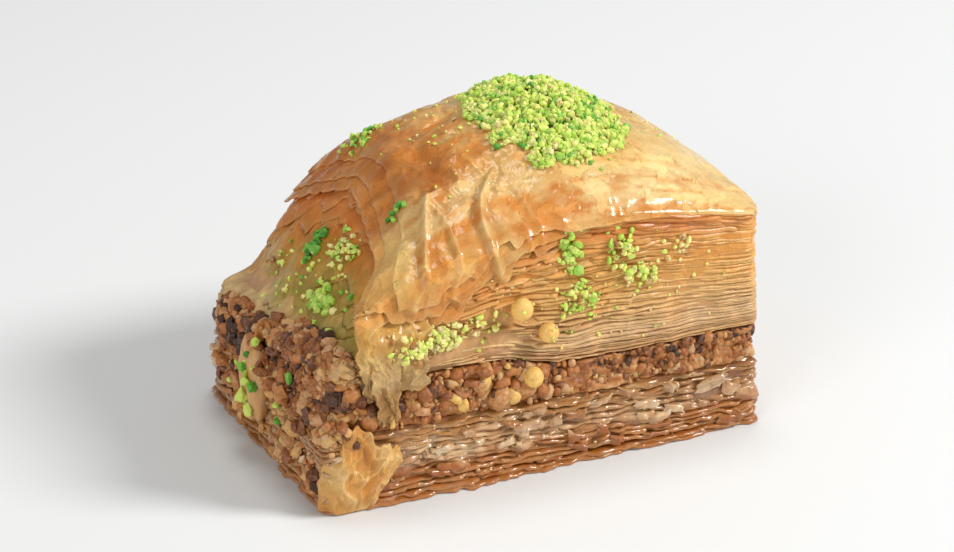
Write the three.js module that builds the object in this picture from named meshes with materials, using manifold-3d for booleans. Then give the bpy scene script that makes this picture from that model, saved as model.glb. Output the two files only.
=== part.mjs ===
// A cut piece of baklava: a syrup-soaked base of pressed pastry leaves, a nut
// filling that runs through, and a tall stack of crisp leaves that domes up
// under a heap of ground pistachio. Millimetres, +Z up. The origin is the
// middle of the footprint on the plate, +X runs along the long cut face from
// left to right, and the long cut face that shows most looks along -Y.

import * as THREE from 'three';
import { mergeVertices } from 'three/addons/utils/BufferGeometryUtils.js';
import Module from 'manifold-3d';

const wasm = await Module();
wasm.setup();

// Driving dimensions

const LENGTH = 50;
const WIDTH = 33;
const HALF_LENGTH = LENGTH / 2;
const HALF_WIDTH = WIDTH / 2;
const LAYER_GAP = 0.3;

const BASE_HEIGHT = 7.6;
const BASE_RISE_LEFT = 0.4;
const NUT_TOP_RIGHT = 11.2;
const NUT_TOP_SWELL = 1.8;
const NUT_TOP_SAG_LEFT = 2.0;

const RIM_HEIGHT = 24.0;
const RIM_SWELL = 2.0;
const RIM_SWELL_CENTRE_X = 6;
const RIM_SWELL_SPREAD = 13;
const DOME_HEIGHT = 7.6;
const DOME_CENTRE = [3, 0.5];
const DOME_REACH_RIGHT = 25.5;
const DOME_REACH_LEFT = 24.0;
const DOME_REACH_SIDE = 17.0;
const DOME_SHOULDER = { along: 2.0, across: 2.2 };
const DOME_FALL = { along: 0.9, across: 0.85 };
const DROOP_START_X = -8;
const DROOP_END_X = -26;
const DROOP_FRONT = 3.8;
const DROOP_BACK = 9.5;

// The leaves that reach the left end lie on the filling as a thin tongue.
const TONGUE_THICKNESS = 1.4;

// Lips at the left end, where the crisp leaves stop one after the other.
const LIP_REACH = 6;
const LIPS = [
  { x: -12.5, drop: 1.5, swell: 1.2, wander: 1.5, turn: 0.16, phase: 1.0 },
  { x: -16.9, drop: 1.1, swell: 0.4, wander: 1.1, turn: 0.20, phase: 2.0 },
  { x: -20.0, drop: 1.0, swell: 0.4, wander: 0.9, turn: 0.26, phase: 3.6 },
  { x: -22.8, drop: 0.7, swell: 0.2, wander: 0.7, turn: 0.22, phase: 5.0 },
];

const HEAP_CENTRE = [6.5, -0.5];
const HEAP_REACH = [8.2, 9.6];
const HEAP_HEIGHT = 1.7;
const HEAP_TURN = 0.1;
const HEAP_BUMPS = 0.4;
const HEAP_CRUMBS = 68;
const LEFT_CRUMBS = 12;
const CRUMB_RADIUS = 0.62;
const NUT_GRAIN_RADIUS = 1.2;

// The top sheet hangs over the front cut face at the left.
const FLAP_RIGHT_X = 0.5;
const FLAP_INSET = 0.0;
const FLAP_HEM_LOW = 18.9;
const FLAP_HEM_RISE = 3.4;

// Pieces of leaf, nut and crumb: [x, z] of each on the front cut face.
const FRONT_INSET = 0.3;
const FRONT_CRUMB_PATCHES = [
  { centre: [-12.0, 17.2], reach: [5.5, 1.3], count: 10 },
  { centre: [5.5, 19.6], reach: [4.2, 3.2], count: 9 },
];
const FRONT_NUT_GRAINS = [[-3.5, 18.6], [-0.4, 15.6]];

// Small helpers

function smooth(from, to, value) {
  const t = Math.min(Math.max((value - from) / (to - from), 0), 1);
  return t * t * (3 - 2 * t);
}

function bell(value, centre, spread) {
  return Math.exp(-(((value - centre) / spread) ** 2));
}

function mix(a, b, t) {
  return a + (b - a) * t;
}

function seededRandom(seed) {
  let state = seed;
  return () => {
    state = (state + 0x6d2b79f5) | 0;
    let t = Math.imul(state ^ (state >>> 15), 1 | state);
    t = (t + Math.imul(t ^ (t >>> 7), 61 | t)) ^ t;
    return ((t ^ (t >>> 14)) >>> 0) / 2 ** 32;
  };
}

// Height of the three layers over the footprint

function baseTop(x) {
  return BASE_HEIGHT + BASE_RISE_LEFT * smooth(5, -15, x);
}

function nutTop(x) {
  const swell = NUT_TOP_SWELL * smooth(3, -8, x);
  return NUT_TOP_RIGHT + swell - NUT_TOP_SAG_LEFT * smooth(-17, -25.5, x);
}

// The crisp leaves end further in towards the left, so the top steps down
// over lips that wander a little from front to back and lift at their edge.
function lipDrop(x, y) {
  let drop = 0;
  for (const lip of LIPS) {
    const edge = lip.x + lip.wander * Math.sin(lip.turn * y + lip.phase);
    const lift = smooth(edge + LIP_REACH, edge, x) * smooth(edge - 0.3, edge + 0.3, x);
    drop += lip.drop * smooth(edge + 0.5, edge - 0.3, x) - lip.swell * lift;
  }
  return drop;
}

function pastryTop(x, y) {
  const back = (y + HALF_WIDTH) / WIDTH;
  const droop = mix(DROOP_FRONT, DROOP_BACK, back);
  const rim = RIM_HEIGHT + RIM_SWELL * bell(x, RIM_SWELL_CENTRE_X, RIM_SWELL_SPREAD)
    - droop * smooth(DROOP_START_X, DROOP_END_X, x);
  const reach = x > DOME_CENTRE[0] ? DOME_REACH_RIGHT : DOME_REACH_LEFT;
  const outX = Math.abs((x - DOME_CENTRE[0]) / reach);
  const outY = Math.abs((y - DOME_CENTRE[1]) / DOME_REACH_SIDE);
  const along = Math.max(1 - outX ** DOME_SHOULDER.along, 0) ** DOME_FALL.along;
  const across = Math.max(1 - outY ** DOME_SHOULDER.across, 0) ** DOME_FALL.across;
  const surface = rim + DOME_HEIGHT * along * across - lipDrop(x, y);
  return Math.max(surface, nutTop(x) + LAYER_GAP + TONGUE_THICKNESS);
}

// How thickly the ground pistachio lies, 1 in the middle of the heap.
function heapDensity(x, y) {
  const dx = x - HEAP_CENTRE[0];
  const dy = y - HEAP_CENTRE[1];
  const along = dx * Math.cos(HEAP_TURN) + dy * Math.sin(HEAP_TURN);
  const across = dy * Math.cos(HEAP_TURN) - dx * Math.sin(HEAP_TURN);
  return Math.exp(-((along / HEAP_REACH[0]) ** 2) - (across / HEAP_REACH[1]) ** 2);
}

function heapTop(x, y) {
  const heap = smooth(0.25, 0.8, heapDensity(x, y));
  const bumps = Math.sin(1.9 * x + 0.8 * y) * Math.sin(2.1 * y - 0.5 * x);
  return pastryTop(x, y) + (HEAP_HEIGHT + HEAP_BUMPS * bumps) * heap;
}

// Plan outline: a rectangle whose corners are rounded, most of all at the
// front left, where the leaves are pressed back.
function roundedPlan(s, t, radii) {
  let x = s * HALF_LENGTH;
  let y = t * HALF_WIDTH;
  const side = x < 0 ? 'left' : 'right';
  const radius = radii[(y < 0 ? 'front' : 'back') + side];
  const dx = (Math.abs(x) - HALF_LENGTH + radius) / radius;
  const dy = (Math.abs(y) - HALF_WIDTH + radius) / radius;
  if (dx > 0 && dy > 0) {
    x = Math.sign(x) * (HALF_LENGTH + radius * (dx * Math.sqrt(1 - dy * dy / 2) - 1));
    y = Math.sign(y) * (HALF_WIDTH + radius * (dy * Math.sqrt(1 - dx * dx / 2) - 1));
  }
  return [x, y];
}

// One layer of the piece as a block of leaf groups. Each group steps in or
// out a little from the next, so the cut faces show ledges. The columns crowd
// together towards the left, where the form is finest.
function leafBlock({
  across, deep, groups, groupShare, crowdLeft, radii, bottom, top, inset,
}) {
  const rows = 2 * groups - 1;
  const block = new THREE.BoxGeometry(2, 2, 1, across, deep, rows);
  const position = block.attributes.position;
  for (let i = 0; i < position.count; i += 1) {
    const s = position.getX(i);
    const closer = s - crowdLeft * (1 - s * s);
    const row = Math.round((position.getZ(i) + 0.5) * rows);
    const group = Math.floor(row / 2);
    const height = (group + (row % 2) * groupShare) / (groups - 1 + groupShare);
    const [planX, planY] = roundedPlan(closer, position.getY(i), radii);
    const pulledIn = inset(planX, planY, group, height);
    const x = planX * (1 - pulledIn / HALF_LENGTH);
    const y = planY * (1 - pulledIn / HALF_WIDTH);
    position.setXYZ(i, x, y, mix(bottom(x, y), top(x, y), height));
  }
  return block;
}

function toSolid(geometry) {
  const bare = geometry.clone();
  bare.deleteAttribute('normal');
  bare.deleteAttribute('uv');
  const merged = mergeVertices(bare, 1e-4);
  return new wasm.Manifold(new wasm.Mesh({
    numProp: 3,
    vertProperties: merged.attributes.position.array,
    triVerts: new Uint32Array(merged.index.array),
  }));
}

function toGeometry(solid) {
  const mesh = solid.getMesh();
  const geometry = new THREE.BufferGeometry();
  geometry.setAttribute('position', new THREE.BufferAttribute(mesh.vertProperties, 3));
  geometry.setIndex(new THREE.BufferAttribute(mesh.triVerts, 1));
  geometry.computeVertexNormals();
  return geometry;
}

// Joins crumbs to a layer and leaves out any that would hang loose beside it.
function fuse(layer, crumbs) {
  const held = crumbs.filter((piece) => !layer.intersect(piece).isEmpty());
  return wasm.Manifold.union([layer, ...held]);
}

// A crumb or nut chunk with few sides, stretched and turned at random.
function crumb(random, radius, place, detail = 0) {
  const shape = new THREE.IcosahedronGeometry(radius, detail);
  shape.scale(mix(0.8, 1.25, random()), mix(0.8, 1.25, random()), mix(0.75, 1.1, random()));
  shape.rotateX(random() * Math.PI);
  shape.rotateZ(random() * Math.PI);
  shape.translate(...place);
  return toSolid(shape);
}

// Base: pressed leaves soaked through with syrup, nearly one mass.

const BASE_LEDGES = [0.15, 0.45, 0.1, 0.5];
const FLAKE_PROUD = 0.5;

// A loose flake of leaf is stuck to the front left corner, 1 in its middle.
function cornerFlake(x, y, height) {
  const near = smooth(-15.5, -18.5, x) * smooth(-10, -13, y);
  return near * smooth(0.05, 0.25, height) * smooth(1.02, 0.8, height);
}

function makeBasePastry() {
  const shape = {
    across: 20,
    deep: 12,
    groups: BASE_LEDGES.length,
    groupShare: 0.75,
    crowdLeft: 0,
    radii: { frontleft: 1.2, frontright: 1.5, backleft: 2.0, backright: 1.5 },
    bottom: () => 0,
    top: (x) => baseTop(x),
    inset: (x, y, group, height) => {
      if (height === 0) {
        return 0;
      }
      const wave = 0.12 * Math.sin(0.55 * x + 2 * group) + 0.12 * Math.sin(0.7 * y + group);
      return Math.max(BASE_LEDGES[group] + wave - FLAKE_PROUD * cornerFlake(x, y, height), 0);
    },
  };
  return toSolid(leafBlock(shape));
}

// Filling: coarse nut paste with chunks that stand out of the cut faces.

const NUT_LEDGE = 0.7;
const NUT_LEDGE_RIGHT = 1.2;
const CHUNK_DEPTH = 0.35;
const NUT_CHUNKS_PER_FACE = { front: 11, back: 8, left: 6, right: 5 };
const NUT_CHUNK_RADIUS = 1.15;
const WALNUT_PIECE = { place: [-23.9, 2.0, 9.85], size: [1.1, 2.2, 1.25] };

function nutRoughness(x, y, height) {
  return 0.28 * Math.sin(1.3 * x + 2.1 * height) * Math.cos(1.1 * y - 1.7 * height)
    + 0.22 * Math.sin(2.3 * x - 0.9 * y + 3.0 * height);
}

// A point on one cut face, "share" of the way along it and a set depth in.
function facePoint(face, share, depth, z) {
  const x = mix(-HALF_LENGTH + 5, HALF_LENGTH - 2.5, share);
  const y = mix(-HALF_WIDTH + 4, HALF_WIDTH - 2.5, share);
  const places = {
    front: [x, depth - HALF_WIDTH, z],
    back: [x, HALF_WIDTH - depth, z],
    left: [depth - HALF_LENGTH, y, z],
    right: [HALF_LENGTH - depth, y, z],
  };
  return places[face];
}

function makeNutFilling() {
  const random = seededRandom(11);
  const block = leafBlock({
    across: 24,
    deep: 14,
    groups: 2,
    groupShare: 0.9,
    crowdLeft: 0,
    radii: { frontleft: 6.0, frontright: 2.0, backleft: 3.0, backright: 2.0 },
    bottom: (x) => baseTop(x) + LAYER_GAP,
    top: (x) => nutTop(x),
    inset: (x, y, group, height) => (
      mix(NUT_LEDGE, NUT_LEDGE_RIGHT, smooth(0, 20, x)) + nutRoughness(x, y, 3 * height)
    ),
  });
  const chunks = [];
  for (const [face, count] of Object.entries(NUT_CHUNKS_PER_FACE)) {
    for (let i = 0; i < count; i += 1) {
      const share = (i + 0.2 + 0.6 * random()) / count;
      const radius = NUT_CHUNK_RADIUS * mix(0.6, 1.0, random());
      const [x, y] = facePoint(face, share, NUT_LEDGE + CHUNK_DEPTH, 0);
      const low = baseTop(x) + LAYER_GAP + 1.3 * radius;
      const high = nutTop(x) - 1.3 * radius;
      chunks.push(crumb(random, radius, [x, y, mix(low, high, random())]));
    }
  }
  const walnut = new THREE.IcosahedronGeometry(1, 1);
  walnut.scale(...WALNUT_PIECE.size);
  walnut.translate(...WALNUT_PIECE.place);
  chunks.push(toSolid(walnut));
  return fuse(toSolid(block), chunks);
}

// Top: crisp leaves in groups that step in and out, the sheet that hangs over
// the front at the left, and the ground pistachio.

const LEAF_STEPS = [0.75, 0.35, 0.6, 0.2, 0.65, 0.25, 0.7, 0.35];
const LEAF_GROUPS = LEAF_STEPS.length;
const TOP_EDGE_INSET = 0.8;

// The sheet that hangs over the front at the left, 1 where it covers.
function hangingSheet(x, y, z) {
  const hem = FLAP_HEM_LOW + FLAP_HEM_RISE * smooth(-13, 0, x) + 0.7 * Math.sin(0.9 * x);
  const onFront = smooth(-6, -10, y) * smooth(FLAP_RIGHT_X + 1.5, FLAP_RIGHT_X - 2.5, x);
  return onFront * smooth(hem - 0.3, hem + 0.3, z) * smooth(-26, -21, x);
}

function leafInset(x, y, group, height) {
  const z = mix(nutTop(x), pastryTop(x, y), height);
  const wave = 0.18 * Math.sin(0.45 * x + 1.7 * group) + 0.18 * Math.sin(0.6 * y + 2.3 * group);
  const onTop = smooth(0.86, 1.0, height);
  const ledge = (LEAF_STEPS[group] + wave) * (1 - 0.5 * onTop) + TOP_EDGE_INSET * onTop;
  const fold = 0.25 * Math.sin(1.1 * x + 0.3 * z);
  return mix(ledge + FRONT_INSET, FLAP_INSET + fold, hangingSheet(x, y, z));
}

// Depth of the front cut face below its plane, at a place on it.
function frontFaceDepth(x, z) {
  const y = -HALF_WIDTH;
  const height = (z - nutTop(x)) / (pastryTop(x, y) - nutTop(x));
  const group = Math.min(Math.floor(height * LEAF_GROUPS), LEAF_GROUPS - 1);
  return leafInset(x, y, group, height);
}

function heapCrumbs(random, count) {
  const crumbs = [];
  while (crumbs.length < count) {
    const x = HEAP_CENTRE[0] + 1.2 * HEAP_REACH[0] * (2 * random() - 1);
    const y = HEAP_CENTRE[1] + 1.2 * HEAP_REACH[1] * (2 * random() - 1);
    if (heapDensity(x, y) > mix(0.25, 0.7, random())) {
      const radius = CRUMB_RADIUS * mix(0.8, 1.25, random());
      crumbs.push(crumb(random, radius, [x, y, heapTop(x, y) + 0.25 * radius]));
    }
  }
  return crumbs;
}

function frontCrumbs(random) {
  const crumbs = [];
  for (const patch of FRONT_CRUMB_PATCHES) {
    for (let i = 0; i < patch.count; i += 1) {
      const x = patch.centre[0] + patch.reach[0] * (2 * random() - 1);
      const z = patch.centre[1] + patch.reach[1] * (2 * random() - 1);
      const radius = CRUMB_RADIUS * mix(0.7, 1.0, random());
      const depth = frontFaceDepth(x, z) + 0.4 * radius;
      crumbs.push(crumb(random, radius, [x, depth - HALF_WIDTH, z]));
    }
  }
  for (const [x, z] of FRONT_NUT_GRAINS) {
    const depth = frontFaceDepth(x, z) + 0.5 * NUT_GRAIN_RADIUS;
    crumbs.push(crumb(random, NUT_GRAIN_RADIUS, [x, depth - HALF_WIDTH, z], 1));
  }
  return crumbs;
}

// Crumbs that rolled down over the lips at the left end.
function leftCrumbs(random, count) {
  const crumbs = [];
  for (let i = 0; i < count; i += 1) {
    const x = mix(-23, -14, random());
    const y = mix(-11, 8, random());
    const radius = CRUMB_RADIUS * mix(0.8, 1.2, random());
    crumbs.push(crumb(random, radius, [x, y, pastryTop(x, y) + 0.2 * radius]));
  }
  return crumbs;
}

function makeTopPastry() {
  const random = seededRandom(5);
  const block = leafBlock({
    across: 30,
    deep: 16,
    groups: LEAF_GROUPS,
    groupShare: 0.75,
    crowdLeft: 0.22,
    radii: { frontleft: 6.5, frontright: 1.2, backleft: 3.0, backright: 1.5 },
    bottom: (x) => nutTop(x) + LAYER_GAP,
    top: heapTop,
    inset: leafInset,
  });
  return fuse(toSolid(block), [
    ...heapCrumbs(random, HEAP_CRUMBS),
    ...frontCrumbs(random),
    ...leftCrumbs(random, LEFT_CRUMBS),
  ]);
}

function addLayer(group, name, solid, colour, roughness) {
  const material = new THREE.MeshStandardMaterial({ color: colour, roughness, metalness: 0 });
  const mesh = new THREE.Mesh(toGeometry(solid), material);
  mesh.name = name;
  group.add(mesh);
}

const baklavaPiece = new THREE.Group();
addLayer(baklavaPiece, 'base_pastry', makeBasePastry(), '#985c30', 0.3);
addLayer(baklavaPiece, 'nut_filling', makeNutFilling(), '#6d4529', 0.6);
addLayer(baklavaPiece, 'top_pastry', makeTopPastry(), '#dca25c', 0.45);

export default baklavaPiece;
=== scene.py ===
# A cut piece of baklava: soaked base leaves, nut filling, a stack of crisp leaves, crust sheets
# and ground pistachio. Lengths are in millimetres until a mesh is made, and in metres after that.
import math
import random

import bmesh
import bpy
import numpy as np
from mathutils import Matrix, Vector
from mathutils.bvhtree import BVHTree


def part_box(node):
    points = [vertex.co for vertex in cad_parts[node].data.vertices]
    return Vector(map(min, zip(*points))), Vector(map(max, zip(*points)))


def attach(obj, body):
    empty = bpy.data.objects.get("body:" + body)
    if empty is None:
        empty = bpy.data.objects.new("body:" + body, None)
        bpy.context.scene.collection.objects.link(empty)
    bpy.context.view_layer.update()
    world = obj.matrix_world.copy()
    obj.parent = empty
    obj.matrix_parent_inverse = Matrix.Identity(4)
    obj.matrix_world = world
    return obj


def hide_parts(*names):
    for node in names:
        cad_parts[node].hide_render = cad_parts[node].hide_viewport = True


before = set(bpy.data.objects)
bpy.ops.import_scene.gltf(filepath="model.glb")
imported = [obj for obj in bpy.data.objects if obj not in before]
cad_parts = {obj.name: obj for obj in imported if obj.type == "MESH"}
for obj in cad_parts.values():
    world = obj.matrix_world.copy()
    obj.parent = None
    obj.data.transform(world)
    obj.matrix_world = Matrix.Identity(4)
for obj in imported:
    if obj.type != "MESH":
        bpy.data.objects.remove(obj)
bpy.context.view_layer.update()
millimetre = 0.001
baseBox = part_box("base_pastry")
halfLength = baseBox[1].x / millimetre
halfWidth = baseBox[1].y / millimetre
print("frame loaded:", sorted(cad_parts))


# the camera, the lights and the floor come first

view = {
    "place": (-118.2, -249.7, 135.9), "aim": (-0.5, 0.0, 15.2), "lens": 108.0, "sensor": 36.0,
    "clip": (0.01, 20),  # in metres
}
lights = {  # place and size in mm, power in W
    "keyLight": {"place": (500, -330, 460), "size": 220, "power": 5.0},
    "topLight": {"place": (60, 120, 700), "size": 280, "power": 1.4},
    "leftFill": {"place": (-620, -420, 260), "size": 500, "power": 2.4},
}
studio = {"floorSize": 3.0, "paper": "#e3e4e3", "worldStrength": 0.29, "lampAim": (0, 0, 15)}


def linear(hexColour):  # sRGB hex to the linear values that the shaders take
    parts = [int(hexColour[i:i + 2], 16) / 255 for i in (1, 3, 5)]
    return [p / 12.92 if p <= 0.04045 else ((p + 0.055) / 1.055) ** 2.4 for p in parts] + [1]


def addNode(tree, kind, settings=None, links=None):
    node = tree.nodes.new(kind)
    for name, value in (settings or {}).items():
        if isinstance(name, int) or name in node.inputs.keys():
            node.inputs[name].default_value = value
        elif name == "stops":  # the colours of a ramp, from 0 to 1
            ramp = node.color_ramp.elements
            while len(ramp) < len(value):
                ramp.new(0.5)
            for element, (position, colour) in zip(ramp, value):
                element.position = position
                element.color = linear(colour)
        else:
            setattr(node, name, value)
    for name, source in (links or {}).items():
        tree.links.new(source, node.inputs[name])
    return node


def newFinish(name):
    material = bpy.data.materials.new(name)
    material.use_nodes = True
    material.node_tree.nodes.clear()
    return material, material.node_tree


def aimAt(thing, place, aim):
    thing.location = Vector(place) * millimetre
    thing.rotation_euler = (Vector(aim) - Vector(place)).to_track_quat("-Z", "Y").to_euler()
    bpy.context.scene.collection.objects.link(thing)


def makeStudio():
    cameraData = bpy.data.cameras.new("camera")
    cameraData.lens = view["lens"]
    cameraData.sensor_width = view["sensor"]
    cameraData.clip_start, cameraData.clip_end = view["clip"]
    camera = bpy.data.objects.new("camera", cameraData)
    aimAt(camera, view["place"], view["aim"])
    bpy.context.scene.camera = camera
    for name, light in lights.items():
        lamp = bpy.data.lights.new(name, "AREA")
        lamp.shape = "DISK"
        lamp.size = light["size"] * millimetre
        lamp.energy = light["power"]
        aimAt(bpy.data.objects.new(name, lamp), light["place"], studio["lampAim"])
    world = bpy.data.worlds.new("paleStudio")
    world.use_nodes = True
    background = world.node_tree.nodes["Background"]
    background.inputs["Color"].default_value = (1, 1, 1, 1)
    background.inputs["Strength"].default_value = studio["worldStrength"]
    bpy.context.scene.world = world
    bpy.context.scene.view_settings.view_transform = "Standard"
    material, tree = newFinish("whitePaper")  # uncoated paper, which looks matt and even
    paper = addNode(tree, "ShaderNodeBsdfPrincipled", {
        "Base Color": linear(studio["paper"]), "Roughness": 0.9})
    addNode(tree, "ShaderNodeOutputMaterial", links={"Surface": paper.outputs["BSDF"]})
    bm = bmesh.new()
    bmesh.ops.create_grid(bm, x_segments=1, y_segments=1, size=studio["floorSize"])
    mesh = bpy.data.meshes.new("floor")
    bm.to_mesh(mesh)
    bm.free()
    mesh.materials.append(material)
    floor = bpy.data.objects.new("floor", mesh)
    bpy.context.scene.collection.objects.link(floor)


makeStudio()
print("camera, lights and floor ready")


# small helpers for the form: they take numbers or arrays, and the seeds of noise are plain numbers

def smooth(low, high, value):  # 0 at low, 1 at high
    t = np.clip((value - low) / (high - low), 0, 1)
    return t * t * (3 - 2 * t)


def mix(a, b, t):
    return a + (b - a) * t


def clamp(value, low, high):
    return min(max(value, low), high)


def bell(value, centre, spread):
    return np.exp(-((value - centre) / spread) ** 2)


def hump(value, power, fullness):  # 1 in the middle, 0 from 1 outwards
    return np.clip(1 - np.abs(value) ** power, 0, 1) ** fullness


def nearEdge(reach, *distances):  # 1 at the nearest of some edges
    return np.exp(-np.minimum.reduce(distances) / reach)


def lattice(ix, iy, seed):  # large uneven factors make neighbouring points unlike each other
    wave = np.sin(ix * 127.1 + iy * 311.7 + seed * 74.7) * 43758.5453
    return wave - np.floor(wave)


def noise(x, y, seed=0):  # one bump per unit, from -1 to 1
    ix, iy = np.floor(x), np.floor(y)
    tx, ty = smooth(0, 1, x - ix), smooth(0, 1, y - iy)
    near = mix(lattice(ix, iy, seed), lattice(ix + 1, iy, seed), tx)
    far = mix(lattice(ix, iy + 1, seed), lattice(ix + 1, iy + 1, seed), tx)
    return 2 * mix(near, far, ty) - 1


def creased(x, y, seed=0):  # sharp crests, as in crumpled paper, from 0 to 1
    return (1 - np.abs(noise(x, y, seed))) ** 3


def roughNoise(x, y, seed=0, octaves=3):  # bumps on bumps, mostly from -1 to 1
    total = 0
    for octave in range(octaves):
        total = total + noise(x * 2 ** octave, y * 2 ** octave, seed + 17 * octave) / 2 ** octave
    return total / 1.6


# the piece's form, the same as its solids; an Over pair says between which x a change happens

layers = {
    "baseTop": 7.6, "baseRise": 0.4, "riseOver": (5, -15), "gap": 0.15,
    "nutTop": 11.2, "nutSwell": 1.8, "swellOver": (3, -8), "nutSag": 2.0, "sagOver": (-17, -25.5),
}
dome = {
    "rim": 24.0, "rimSwell": 2.0, "rimSwellAt": 6, "rimSwellSpread": 13,
    "height": 7.6, "centre": (3, 0.5), "reachRight": 25.5, "reachLeft": 24.0, "reachSide": 17.0,
    "along": (2, 0.9), "across": (2.2, 0.85),  # power and fullness of its curve
    "droopFront": 3.8, "droopBack": 9.5, "droopOver": (-8, -26), "shoulder": 1.4, "shoulderOver": (17, 26),
}
lips = [  # where the crisp leaves stop one group after the other at the left end
    {"x": -14.0, "drop": 1.2, "wander": 1.5, "turn": 0.16, "phase": 1.0},
    {"x": -17.3, "drop": 1.1, "wander": 1.1, "turn": 0.20, "phase": 2.0},
    {"x": -20.0, "drop": 1.0, "wander": 0.9, "turn": 0.26, "phase": 3.6},
    {"x": -22.8, "drop": 0.7, "wander": 0.7, "turn": 0.22, "phase": 5.0},
]
heap = {"centre": (6.2, -0.6), "reach": (7.0, 9.8), "turn": -0.12, "height": 1.8}
cornerSteps = 12  # of each rounded corner of an outline


def baseTop(x):
    return layers["baseTop"] + layers["baseRise"] * smooth(*layers["riseOver"], x)


def nutTop(x):
    swell = layers["nutSwell"] * smooth(*layers["swellOver"], x)
    return layers["nutTop"] + swell - layers["nutSag"] * smooth(*layers["sagOver"], x)


def lipEdge(lip, y):
    return lip["x"] + lip["wander"] * np.sin(lip["turn"] * y + lip["phase"])


def fullTop(x, y):  # the surface if every leaf ran to the left end
    back = (y + halfWidth) / (2 * halfWidth)
    droop = mix(dome["droopFront"], dome["droopBack"], back)
    rim = dome["rim"] + dome["rimSwell"] * bell(x, dome["rimSwellAt"], dome["rimSwellSpread"])
    rim = rim - droop * smooth(*dome["droopOver"], x)
    reach = np.where(x > dome["centre"][0], dome["reachRight"], dome["reachLeft"])
    along = hump((x - dome["centre"][0]) / reach, *dome["along"])
    across = hump((y - dome["centre"][1]) / dome["reachSide"], *dome["across"])
    shoulder = dome["shoulder"] * smooth(*dome["shoulderOver"], x) * across
    return rim + dome["height"] * along * across - shoulder


def heapDensity(x, y):
    dx, dy = x - heap["centre"][0], y - heap["centre"][1]
    along = dx * math.cos(heap["turn"]) + dy * math.sin(heap["turn"])
    across = dy * math.cos(heap["turn"]) - dx * math.sin(heap["turn"])
    return np.exp(-(along / heap["reach"][0]) ** 2 - (across / heap["reach"][1]) ** 2)


def outline(share, radii):  # the rounded footprint, as x and y at each share of the way round
    corners = [(-1, 1, "backLeft", 90), (-1, -1, "frontLeft", 180),
               (1, -1, "frontRight", 270), (1, 1, "backRight", 0)]
    xs, ys = [0.0], [halfWidth]
    for sideX, sideY, name, start in corners:
        radius = radii[name]
        for step in range(cornerSteps + 1):
            angle = math.radians(start + 90 * step / cornerSteps)
            xs.append(sideX * (halfLength - radius) + radius * math.cos(angle))
            ys.append(sideY * (halfWidth - radius) + radius * math.sin(angle))
    xs.append(0.0)
    ys.append(halfWidth)
    run = np.concatenate([[0], np.cumsum(np.hypot(np.diff(xs), np.diff(ys)))])
    return np.interp(share * run[-1], run, xs), np.interp(share * run[-1], run, ys)


# making meshes: a form starts as a grid or a ball and is put in place

surfaces = []  # every piece's outer surface, for what is strewn on it later
meshValues = ("tone", "edge", "toast", "stain")  # read by the finishes
seams = {"merge": 0.002, "sliver": 0.001}
crumbForm = {"segments": 6, "rings": 4, "fineLevel": 3, "flatAt": (0.4, 0.8), "turn": (0, 6.3)}


def newShape():
    bm = bmesh.new()
    for name in meshValues:
        bm.verts.layers.float.new(name)
    return bm


def setValues(bm, verts, **values):
    for name, numbers in values.items():
        layer = bm.verts.layers.float[name]
        for vert, number in zip(verts, np.broadcast_to(numbers, len(verts)).tolist()):
            vert[layer] = number


def addSheet(bm, columns, rows, shape):  # a grid whose points go where shape(u, v) says
    made = bmesh.ops.create_grid(bm, x_segments=columns, y_segments=rows, size=0.5)["verts"]
    flat = np.array([vert.co[:2] for vert in made]) + 0.5
    x, y, z, values = shape(flat[:, 0], flat[:, 1])
    for vert, point in zip(made, (np.stack([x, y, z], 1) * millimetre).tolist()):
        vert.co = point
    setValues(bm, made, **values)


def closeSeams(bm):
    bmesh.ops.remove_doubles(bm, verts=bm.verts, dist=seams["merge"] * millimetre)
    bmesh.ops.dissolve_degenerate(bm, edges=bm.edges, dist=seams["sliver"] * millimetre)
    bmesh.ops.recalc_face_normals(bm, faces=bm.faces)


def ballShape(fine):  # a unit ball as points and faces, few enough to repeat by the thousand
    bm = bmesh.new()
    if fine:
        bmesh.ops.create_icosphere(bm, subdivisions=crumbForm["fineLevel"], radius=1)
    else:
        bmesh.ops.create_uvsphere(
            bm, u_segments=crumbForm["segments"], v_segments=crumbForm["rings"], radius=1)
    points = np.array([vert.co[:] for vert in bm.verts])
    faces = [[vert.index for vert in face.verts] for face in bm.faces]
    bm.free()
    return points, faces


crumbBall = ballShape(False)
smoothBall = ballShape(True)


def crumb(place, radius, dice, tone, flats=3, stretch=0.3, fine=False):
    ball, faces = smoothBall if fine else crumbBall
    for _ in range(flats):  # nuts break along flat faces
        facing = np.array([dice.gauss(0, 1) for _ in range(3)])
        facing /= np.linalg.norm(facing)
        over = np.clip(ball @ facing - dice.uniform(*crumbForm["flatAt"]), 0, None)
        ball = ball - over[:, None] * facing
    size = np.array([dice.uniform(1 - stretch, 1 + stretch) for _ in range(3)])
    aboutX = Matrix.Rotation(dice.uniform(*crumbForm["turn"]), 3, "X")
    aboutZ = Matrix.Rotation(dice.uniform(*crumbForm["turn"]), 3, "Z")
    return (ball * size) @ np.array(aboutX @ aboutZ) * radius + np.array(place), faces, tone


def addCrumbs(bm, crumbs):  # all of them join the shape as one mesh
    points = np.concatenate([part[0] for part in crumbs])
    starts = np.cumsum([0] + [len(part[0]) for part in crumbs])
    faces = [[start + i for i in face] for start, part in zip(starts.tolist(), crumbs) for face in part[1]]
    mesh = bpy.data.meshes.new("crumbs")
    mesh.from_pydata((points * millimetre).tolist(), [], faces)
    tones = np.repeat([part[2] for part in crumbs], [len(part[0]) for part in crumbs])
    mesh.attributes.new("tone", "FLOAT", "POINT").data.foreach_set("value", tones)
    bm.from_mesh(mesh)
    bpy.data.meshes.remove(mesh)


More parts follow.
